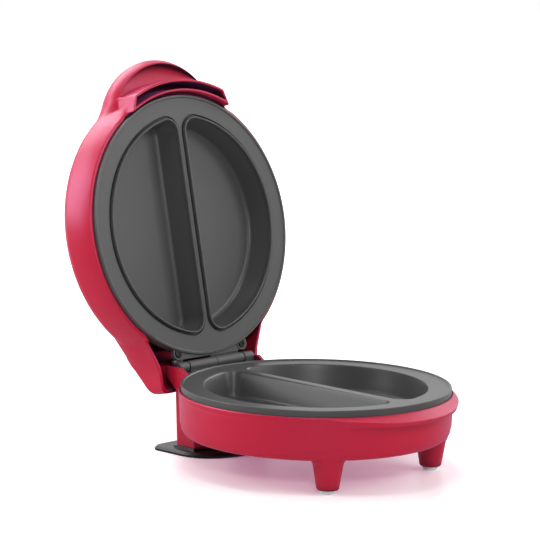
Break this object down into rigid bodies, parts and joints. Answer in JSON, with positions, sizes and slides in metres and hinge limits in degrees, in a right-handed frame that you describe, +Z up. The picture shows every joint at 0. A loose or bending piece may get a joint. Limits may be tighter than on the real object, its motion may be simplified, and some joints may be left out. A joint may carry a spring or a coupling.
{
  "type": "omelette maker",
  "caption": "Round electric omelette maker with a hinged lid, half-moon cooking pockets in both plates, front legs and a rear column on a flat foot, lid standing open.",
  "frame": {"origin": "centre of the rear foot's underside, on the table", "axes": "+Z up, +Y to the rear where the hinge is, +X to the right of a person facing the front"},
  "size_m": [0.1916, 0.2702, 0.2613],
  "materials": {
    "crimson_plastic": "semi-gloss moulded",
    "nonstick": "fine-grained non-stick coating on cast aluminium",
    "black_plastic": "satin",
    "pad_rubber": "pale, soft",
    "plain_steel": "zinc plated",
    "black_steel": "black oxide",
    "element_sheath": "drawn tube",
    "shield_sheet": "rolled sheet",
    "pale_insulator": "moulded insulator",
    "red_lens": "tinted",
    "green_lens": "tinted"
  },
  "bodies": {
    "base": {"base_housing": "crimson_plastic", "front_foot_pads": "pad_rubber", "rear_foot": "black_plastic", "rear_foot_screws": "plain_steel", "lower_cooking_plate": "nonstick", "lower_plate_screws": "plain_steel", "lower_heating_element": "element_sheath", "lower_element_clamps": "plain_steel", "lower_heat_shield": "shield_sheet", "thermostat": "pale_insulator", "thermal_fuse": "pale_insulator", "terminal_block": "pale_insulator", "cord_gland": "black_plastic", "hinge_pin": "plain_steel", "hinge_washers": "black_steel"},
    "lid": {"lid_housing": "crimson_plastic", "upper_cooking_plate": "nonstick", "upper_plate_screws": "black_steel", "upper_heating_element": "element_sheath", "upper_element_clamps": "plain_steel", "upper_heat_shield": "shield_sheet", "power_light_lens": "red_lens", "ready_light_lens": "green_lens", "lamp_holder": "pale_insulator"}
  },
  "joints": [
    {"name": "lid_hinge", "type": "hinge", "parent": "base", "child": "lid", "pos_m": [0, 0.0145, 0.057], "axis": [1, 0, 0], "range_deg": [0, 102]}
  ]
}
